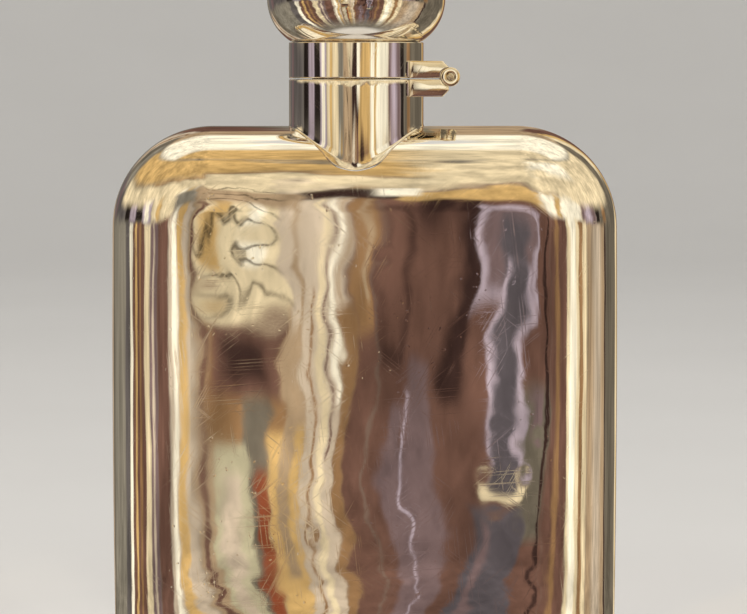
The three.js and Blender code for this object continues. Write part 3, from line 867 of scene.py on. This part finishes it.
# Patches painted on the tent one over another: first and last direction in degrees, from the front
# towards the hinge, then lowest and highest level in millimetres, the softness of the edges in
# degrees, and the colour. Levels below zero lie on the floor, towards the flask.
FLOOR, NECK, FACE_TOP, ROOF = -260, 94, 150, 620
PATCHES = [
    # The back, at all heights
    (-181, 181, FLOOR, ROOF, 4, GREY),
    (-174, -160, FLOOR, ROOF, 2, BROWN),
    (-160, -147, FLOOR, ROOF, 2, PALE),
    (-154, -151, FLOOR, ROOF, 1, DULL_GOLD),
    (-147, -136, FLOOR, ROOF, 3, TAUPE),
    (101, 140, FLOOR, ROOF, 3, TAUPE),
    (140, 150, FLOOR, ROOF, 2, CREAM),
    (150, 156, FLOOR, ROOF, 1.5, GOLD),
    (156, 168, FLOOR, ROOF, 2, BROWN),
    (168, 176, FLOOR, ROOF, 2, BEIGE),
    # What the rims of the body see
    (-95, -84, FLOOR, NECK, 2, ASH),
    (-84, -78, FLOOR, NECK, 1.2, WHITE),
    (-78, -57, FLOOR, NECK, 1.5, BROWN),
    (-73, -70, FLOOR, NECK, 1, GOLD),
    (-66, -63, FLOOR, NECK, 1, DULL_GOLD),
    (-57, -49.5, FLOOR, NECK, 1.2, CREAM),
    (-49.5, -41, FLOOR, NECK, 1.2, MAUVE),
    (-46.5, -44.5, FLOOR, NECK, 0.8, PALE),
    (-41, -30.5, FLOOR, FACE_TOP, 1, BROWN),
    (-30.5, -20.8, FLOOR, FACE_TOP, 0.8, PALE),
    (-28.5, -26, FLOOR, FACE_TOP, 0.6, WHITE),
    (-25.2, -22.6, FLOOR, FACE_TOP, 0.4, GOLD),
    (23, 36, FLOOR, FACE_TOP, 1, BROWN),
    (26, 29, FLOOR, FACE_TOP, 1, DULL_GOLD),
    (36, 61, FLOOR, FACE_TOP, 1, CREAM),
    (39, 46, FLOOR, FACE_TOP, 1.2, WHITE),
    (50, 55, FLOOR, NECK, 1, DULL_GOLD),
    (61, 98, FLOOR, NECK, 3, BEIGE),
    (72, 88, FLOOR, NECK, 5, PALE),
    (97.5, 101, FLOOR, NECK, 0.8, UMBER),
    # What the left half of the face sees
    (-20.8, -7.4, FLOOR, FACE_TOP, 0.4, BEIGE),
    (-20.2, -19.5, FLOOR, 120, 0.15, BROWN),
    (-19.4, -9, 14, 60, 0.5, DULL_GOLD),
    (-19.0, -10.5, 32, 61, 0.5, BROWN),
    (-17.8, -12.4, 38, 53, 0.8, UMBER),
    (-15.4, -12.2, FLOOR, 32, 0.4, TAUPE),
    (-19.5, -10, 58, 150, 0.3, CREAM),
    (-19, -17, 66, 120, 0.6, GOLD),
    (-14.6, -12.4, 78, 104, 0.6, WHITE),
    (-18.8, -14.6, FLOOR, 14, 0.25, OLIVE),
    (-18.0, -16.0, FLOOR, 2, 0.6, PALE),
    (-14, -12.2, FLOOR, 4, 0.2, RUST),
    (-12, -7.6, FLOOR, 20, 0.4, GOLD),
    (-10.6, -8.8, -60, 60, 0.3, BEIGE),
    # The tall cream band with darker lines inside it
    (-10.2, -1.4, 56, 150, 0.3, PALE),
    (-7.6, -2.8, FLOOR, 62, 0.2, PALE),
    (-8.6, -8.0, 50, 120, 0.2, BEIGE),
    (-6.4, -6.0, FLOOR, 66, 0.15, DULL_GOLD),
    (-5.4, -4.4, FLOOR, 130, 0.25, CREAM),
    (-4.1, -3.8, 8, 92, 0.12, BROWN),
    (-3.4, -2.8, 26, 120, 0.2, WHITE),
    (-2.2, -1.8, 60, 120, 0.15, BEIGE),
    # What the right half of the face sees
    (-1.4, 1.6, FLOOR, 150, 0.4, BROWN),
    (-1.2, 1.2, 48, 150, 0.25, DULL_GOLD),
    (0.2, 0.8, 56, 130, 0.15, BEIGE),
    (-2.8, -1.2, FLOOR, 58, 0.3, DULL_GOLD),
    (1.6, 23.4, FLOOR, FACE_TOP, 0.4, BROWN),
    (1.8, 5.2, 40, 88, 0.6, UMBER),
    (2.0, 4.6, 44, 84, 0.8, BROWN),
    (17.8, 22.6, -30, 34, 0.8, TAUPE),
    (3.4, 9.4, FLOOR, 12, 0.5, MAUVE),
    (6.2, 9.0, FLOOR, 44, 0.4, MAUVE),
    (4.0, 5.6, FLOOR, 28, 0.4, MAUVE),
    (5.8, 6.1, FLOOR, 34, 0.12, LAVENDER),
    (6, 10, 76, 100, 1.5, UMBER),
    (10.2, 12.4, 30, 100, 0.8, UMBER),
    (12.1, 19.3, 54, 88, 0.3, LAVENDER),
    (12.9, 18.6, 57, 84, 0.4, MAUVE),
    (14.6, 17.6, 60, 80, 0.6, SLATE),
    (15.1, 18.5, 4, 66, 0.25, LAVENDER),
    (15.7, 17.9, 2, 68, 0.4, SLATE),
    # Painted highlight for the ding: the cream patch below lies on the tent where the shallow dents reflect
    # it, and the slate patch after it cuts into it
    (14.4, 18.2, -10, 1, 0.2, CREAM),
    (15.3, 17.1, -3, 12, 0.3, SLATE),
    (19.0, 21.0, 20, 34, 0.4, MAUVE),
    (12.2, 18.6, FLOOR, -14, 0.5, SLATE),
    (13.4, 14.6, FLOOR, -20, 0.4, MAUVE),
    (21.4, 22.2, FLOOR, 90, 0.2, UMBER),
    # What the neck sees, from its left edge to its right
    (-181, -155, NECK, FACE_TOP, 3, GREY),
    (-155, -98, NECK, FACE_TOP, 3, ASH),
    (-140, -132, NECK, FACE_TOP, 2, MAUVE),
    (-98, -64, NECK, FACE_TOP, 2, INK),
    (-86, -75, NECK, FACE_TOP, 2, LAVENDER),
    (-64, -50, NECK, FACE_TOP, 2, LAVENDER),
    (-60, -54, NECK, FACE_TOP, 1.5, WHITE),
    (-50, -30, NECK, FACE_TOP, 1.5, CREAM),
    (-44, -40, NECK, FACE_TOP, 1, GOLD),
    (-30, -20.8, NECK, 128, 1.5, GREY),
    (-20.8, -8, 92, 124, 1, BEIGE),
    (-8, 3.4, 102, 126, 0.8, UMBER),
    (3.4, 23, 96, 126, 1, GOLD),
    (23, 55, NECK, 132, 1.5, WHITE),
    (30, 34, NECK, 132, 1, GOLD),
    (55, 80, NECK, FACE_TOP, 3, MAUVE),
    (62, 72, NECK, FACE_TOP, 3, LAVENDER),
    (80, 89, NECK, FACE_TOP, 1.5, INK),
    (89, 150, NECK, FACE_TOP, 4, TAUPE),
    (96, 104, NECK, FACE_TOP, 2, DULL_GOLD),
    # Low in front of the roof
    (-120, 6, 132, 184, 4, CREAM),
    (-60, 2, 184, 196, 3, DULL_GOLD),
    (-120, 10, 196, 330, 6, GOLD),
    (6, 120, 134, 330, 4, CREAM),
    (26, 60, 215, 300, 6, WHITE),
]
# A small light that the front end of the hinge sees: directions and levels
HINGE_LIGHT = (1.0, 6.0, 106, 130)
# A patch's edges in level are this many millimetres soft for each degree of its softness, and more
LEVEL_SOFTNESS = 3.5
LEAST_SOFTNESS = 2.0
# Level where the patches give way to the ceiling, and where the floor's glow does to them
CEILING_FROM = 345
GLOW_TO = -165
TENT_RADIUS = 0.26
TENT_HEIGHT = 0.40
TENT_BOTTOM = 0.001
TENT_HOLE = 0.036
HOLE_FADE = 0.012


class Painting(Nodes):
    """An emission material built up from soft-edged patches."""

    def smooth(self, value, edge, softness, rising=True):
        """0 below the edge and 1 above it, or the other way round."""
        values = {"Value": value, "From Min": edge - softness, "From Max": edge + softness,
                  "To Min": 0.0 if rising else 1.0, "To Max": 1.0 if rising else 0.0}
        return self.add("ShaderNodeMapRange", values, interpolation_type="SMOOTHSTEP").outputs[0]

    def window(self, value, low, high, softness):
        """1 between low and high."""
        rising = self.smooth(value, low, softness)
        return self.math("MULTIPLY", rising, self.smooth(value, high, softness, False))


def tent_levels(nodes, z, radius):
    """Millimetres along the tent: out over the floor, up the wall, then in over the roof."""
    outward = nodes.math("SUBTRACT", radius, TENT_RADIUS)
    on_roof = nodes.smooth(z, TENT_HEIGHT / 2, 0.01)
    sign = nodes.math("SUBTRACT", 1.0, nodes.math("MULTIPLY", on_roof, 2.0))
    level = nodes.math("ADD", z, nodes.math("MULTIPLY", outward, sign))
    return nodes.math("DIVIDE", level, MM)


def stirred(nodes, direction, level):
    """Lets the edges of the patches wander, more so high up in front, where the shoulders see them."""
    wander = nodes.noise(nodes.coordinates((14, 14, 26)), 1.0, 3.0, 0.55)
    fine = nodes.noise(nodes.coordinates((60, 60, 85), (0.4, 0, 0.8)), 1.0, 2.0)
    swing = nodes.spread(wander, 0.2, 0.8, -2.8, 2.8)
    shiver = nodes.spread(fine, 0.2, 0.8, -0.8, 0.8)
    rise = nodes.noise(nodes.coordinates((15, 15, 6), (0.9, 0.3, 0)), 1.0, 2.0)
    in_front = nodes.window(direction, -32, 32, 12)
    high_up = nodes.math("MULTIPLY", nodes.smooth(level, 130, 50), in_front)
    growth = nodes.math("ADD", 9.0, nodes.math("MULTIPLY", high_up, 48.0))
    lift = nodes.math("MULTIPLY", nodes.spread(rise, 0.2, 0.8, -1.0, 1.0), growth)
    direction = nodes.math("ADD", direction, nodes.math("ADD", swing, shiver))
    return direction, nodes.math("ADD", level, lift)


def painted(nodes, direction, level):
    """All the patches, one over another."""
    color = GREY
    for first, last, low, high, softness, paint in PATCHES:
        inside = nodes.window(direction, first, last, softness)
        if low > FLOOR or high < ROOF:
            level_softness = LEVEL_SOFTNESS * softness + LEAST_SOFTNESS
            inside = nodes.math("MULTIPLY", inside, nodes.window(level, low, high, level_softness))
        color = nodes.mix(inside, color, paint)
    return color


def painted_reflection_lines(nodes, direction, level):
    """Painted reflection: thin wavy dark lines, nearly level, painted on the tent where the pale part at the
    upper left of the face reflects them.
    """
    sway = nodes.noise(nodes.coordinates((34, 34, 10), (0.5, 0.2, 0)), 1.0, 3.0, 0.55)
    lines = nodes.math("ADD", nodes.math("DIVIDE", level, 17.0), nodes.math("MULTIPLY", sway, 4.0))
    away = nodes.math("ABSOLUTE", nodes.math("SUBTRACT", nodes.math("FRACT", lines), 0.5))
    thin = nodes.spread(away, 0.01, 0.12, 1.0, 0.0)
    across, up = nodes.window(direction, -19.5, -10, 0.8), nodes.window(level, 60, 132, 6.0)
    in_patch = nodes.math("MULTIPLY", across, up)
    return nodes.math("MULTIPLY", nodes.math("MULTIPLY", thin, in_patch), 0.85)


def ceiling(nodes, x, y):
    """The roof: gold and cream in front, a lamp overhead and beige behind."""
    front = nodes.mix(nodes.smooth(x, 0.02, 0.03), GOLD, CREAM)
    behind = nodes.mix(nodes.smooth(y, 0.15, 0.03), WHITE, BEIGE)
    return nodes.mix(nodes.smooth(y, -0.13, 0.02), front, behind)


def tent_material():
    """Light by direction and level, which fades into the floor round the flask."""
    nodes = Painting("tent")
    position = nodes.add("ShaderNodeTexCoord").outputs["Object"]
    parts = nodes.add("ShaderNodeSeparateXYZ", {0: position})
    x, y, z = (parts.outputs[i] for i in range(3))
    toward_front = nodes.math("MULTIPLY", y, -1.0)
    bearing = nodes.math("MULTIPLY", nodes.math("ARCTAN2", x, toward_front), math.degrees(1))
    squares = nodes.math("ADD", nodes.math("MULTIPLY", x, x), nodes.math("MULTIPLY", y, y))
    radius = nodes.math("SQRT", squares)
    plain_level = tent_levels(nodes, z, radius)
    direction, level = stirred(nodes, bearing, plain_level)

    color = painted(nodes, direction, level)
    first, last, low, high = HINGE_LIGHT
    across, up = nodes.window(bearing, first, last, 0.8), nodes.window(plain_level, low, high, 4.0)
    lit = nodes.math("MULTIPLY", across, up)
    color = nodes.mix(lit, color, WHITE)
    # Painted reflection: thin dark lines that the pale part at the upper left of the face reflects
    color = nodes.mix(painted_reflection_lines(nodes, direction, level), color, DARK_REFLECTION_LINE)
    color = nodes.mix(nodes.smooth(plain_level, CEILING_FROM, 25), color, ceiling(nodes, x, y))
    color = nodes.mix(nodes.smooth(plain_level, GLOW_TO, 45), FLOOR_GLOW, color)

    mottle = nodes.noise(nodes.coordinates((95, 95, 34), (0.1, 0, 0.5)), 1.0, 5.0, 0.6)
    clouds = nodes.noise(nodes.coordinates((22, 22, 18), (0.7, 0.2, 0)), 1.0, 3.0)
    strength = nodes.math("MULTIPLY", nodes.spread(mottle, 0.3, 0.7, 0.72, 1.26),
                          nodes.spread(clouds, 0.35, 0.65, 0.78, 1.24))
    emission = nodes.add("ShaderNodeEmission", {"Color": color, "Strength": strength})
    clear = nodes.add("ShaderNodeBsdfTransparent")
    fade = nodes.smooth(radius, TENT_HOLE + HOLE_FADE, HOLE_FADE)
    blend = nodes.add("ShaderNodeMixShader", {0: fade, 1: clear.outputs[0], 2: emission.outputs[0]})
    nodes.tree.links.new(blend.outputs[0], nodes.tree.nodes["Material Output"].inputs[0])
    nodes.tree.nodes.remove(nodes.shader)
    return nodes.material


def round_sheet(name, profile, sides=96):
    """A profile of (radius, height) turned about the middle of the stage."""
    size = len(profile)
    points = [(r * c, r * s, z) for c, s in around(sides) for r, z in profile]
    faces = []
    for i in range(sides):
        here, there = i * size, (i + 1) % sides * size
        for k in range(size - 1):
            faces.append((here + k, there + k, there + k + 1, here + k + 1))
    return mesh_piece(name, points, faces)


def make_tent():
    """A round tent that only reflections see: floor from just outside the flask, wall and roof."""
    foot, shoulder = 0.06, 0.10
    profile = [(TENT_HOLE, TENT_BOTTOM), (TENT_RADIUS - foot, TENT_BOTTOM)]
    for c, s in quarter(8, 1):
        profile.append((TENT_RADIUS - foot + foot * s, TENT_BOTTOM + foot * (1 - c)))
    for c, s in quarter(8):
        profile.append((TENT_RADIUS - shoulder + shoulder * c, TENT_HEIGHT - shoulder + shoulder * s))
    profile.append((0, TENT_HEIGHT))
    tent = round_sheet("tent", profile)
    tent.data.materials.append(tent_material())
    tent.visible_camera = False
    tent.visible_shadow = False
    tent.visible_diffuse = False


def make_floor():
    """A pale floor that curves up into a plain backdrop all the way round."""
    flat, curve, rise = 1.3, 1.2, 2.6
    profile = [(0, 0), (0.3, 0), (flat, 0)]
    profile += [(flat + curve * s, curve * (1 - c)) for c, s in quarter(24, 1)]
    profile.append((flat + curve, rise))
    floor = round_sheet("floor", profile)
    nodes = Nodes("pale_floor")
    grain = nodes.noise(nodes.coordinates(), 9, 4.0)
    nodes.set("Base Color", nodes.mix(grain, (0.66, 0.65, 0.63), (0.70, 0.69, 0.67)))
    nodes.set("Roughness", nodes.spread(grain, 0.3, 0.7, 0.75, 0.85))
    floor.data.materials.append(nodes.material)


def make_light(name, size, power, location, target, color):
    """A square soft light that reflections don't see."""
    data = bpy.data.lights.new(name, "AREA")
    data.size = size
    data.energy = power
    data.color = color
    light = bpy.data.objects.new(name, data)
    bpy.context.scene.collection.objects.link(light)
    light.location = location
    light.rotation_euler = (Vector(target) - Vector(location)).to_track_quat("-Z", "Y").to_euler()
    light.visible_glossy = False


def make_lights():
    """An even pale world with a warm light from the left and a cool one from the right."""
    world = bpy.data.worlds.new("studio")
    world.use_nodes = True
    background = world.node_tree.nodes["Background"]
    background.inputs["Color"].default_value = (0.8, 0.79, 0.78, 1)
    background.inputs["Strength"].default_value = 0.9
    bpy.context.scene.world = world
    make_light("key", 0.8, 14, (-0.7, -0.8, 1.2), (0, 0, 0.06), (1.0, 0.95, 0.88))
    make_light("fill", 1.0, 8, (1.0, -0.5, 0.9), (0, 0, 0.06), (0.95, 0.97, 1.0))


# ---- Camera ----

# The flask fills this share of the view's width
FLASK_SHARE = 0.6787
VIEW_WIDTH = 2 * HALF_WIDTH / FLASK_SHARE
AIM = Vector((1.4 * MM, 0, BODY_TOP - 28.5 * MM))
CAMERA_DISTANCE = 0.45
EYE_ABOVE_AIM = 36 * MM


def make_camera():
    """A camera in front of the flask and a little above it, looking slightly down."""
    data = bpy.data.cameras.new("camera")
    camera = bpy.data.objects.new("camera", data)
    bpy.context.scene.collection.objects.link(camera)
    camera.location = AIM + Vector((0, -CAMERA_DISTANCE, EYE_ABOVE_AIM))
    camera.rotation_euler = (AIM - camera.location).to_track_quat("-Z", "Y").to_euler()
    reach = math.hypot(CAMERA_DISTANCE, EYE_ABOVE_AIM)
    data.lens = data.sensor_width * reach / VIEW_WIDTH
    data.clip_start, data.clip_end = 0.01, 20
    bpy.context.scene.camera = camera


# ---- Build ----

make_camera()
make_floor()
make_tent()
make_lights()
bpy.context.scene.view_settings.view_transform = "Standard"

MATERIALS = {
    "body_silver": silver("body_silver", (0.93, 0.89, 0.82)),
    "neck_silver": silver("neck_silver", (0.91, 0.87, 0.8), scratch_share=0.6),
    "cap_silver": silver("cap_silver", (0.92, 0.88, 0.81), scratch_share=0.8),
    "hinge_silver": silver("hinge_silver", (0.94, 0.88, 0.76), roughness=0.07),
    "gilt_lining": gilt("gilt_lining"),
    "pin_steel": wire_steel("pin_steel"),
    "cork": cork("cork"),
}


def place(piece, body, slot, *nodes):
    """Gives a piece the material named by its slot and its body, and hides the CAD nodes that it stands for.
    """
    piece.data.materials.clear()
    piece.data.materials.append(MATERIALS[slot])
    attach(piece, body)
    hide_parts(*nodes)


place(make_body_shell(-1), "flask", "body_silver", "body_front_shell")
place(make_body_shell(1), "flask", "body_silver", "body_back_shell")
place(make_base_plate(), "flask", "body_silver", "base_plate")
place(make_neck_tube(), "flask", "neck_silver", "neck_tube")
place(make_neck_top_ring(), "flask", "neck_silver", "neck_top_ring")
place(make_spout(), "flask", "gilt_lining", "neck_spout")
place(make_lug(-1), "flask", "gilt_lining", "bayonet_lug_front")
place(make_lug(1), "flask", "gilt_lining", "bayonet_lug_rear")
place(make_bearer(-1), "flask", "hinge_silver", "hinge_bearer_neck")
place(make_pin(), "flask", "pin_steel", "hinge_pin")
place(make_collar(), "cap_collar", "cap_silver", "cap_collar_ring")
place(make_floor_ring(), "cap_collar", "cap_silver", "cap_floor_ring")
place(make_bearer(1), "cap_collar", "hinge_silver", "hinge_bearer_cap")
place(make_dome(), "cap_knob", "cap_silver", "cap_dome")
place(make_dome_ring(), "cap_knob", "cap_silver", "dome_base_ring")
place(make_sleeve(), "cap_knob", "gilt_lining", "bayonet_sleeve")
place(make_keeper(), "cap_knob", "gilt_lining", "knob_retaining_ring")
place(make_cork(), "cap_knob", "cork", "cork_seal")
for number in range(KNUCKLES):
    owner, body = ("neck", "flask") if number % 2 else ("cap", "cap_collar")
    node = f"hinge_knuckle_{owner}_{number + 1}"
    place(make_knuckle(node, number), body, "hinge_silver", node)
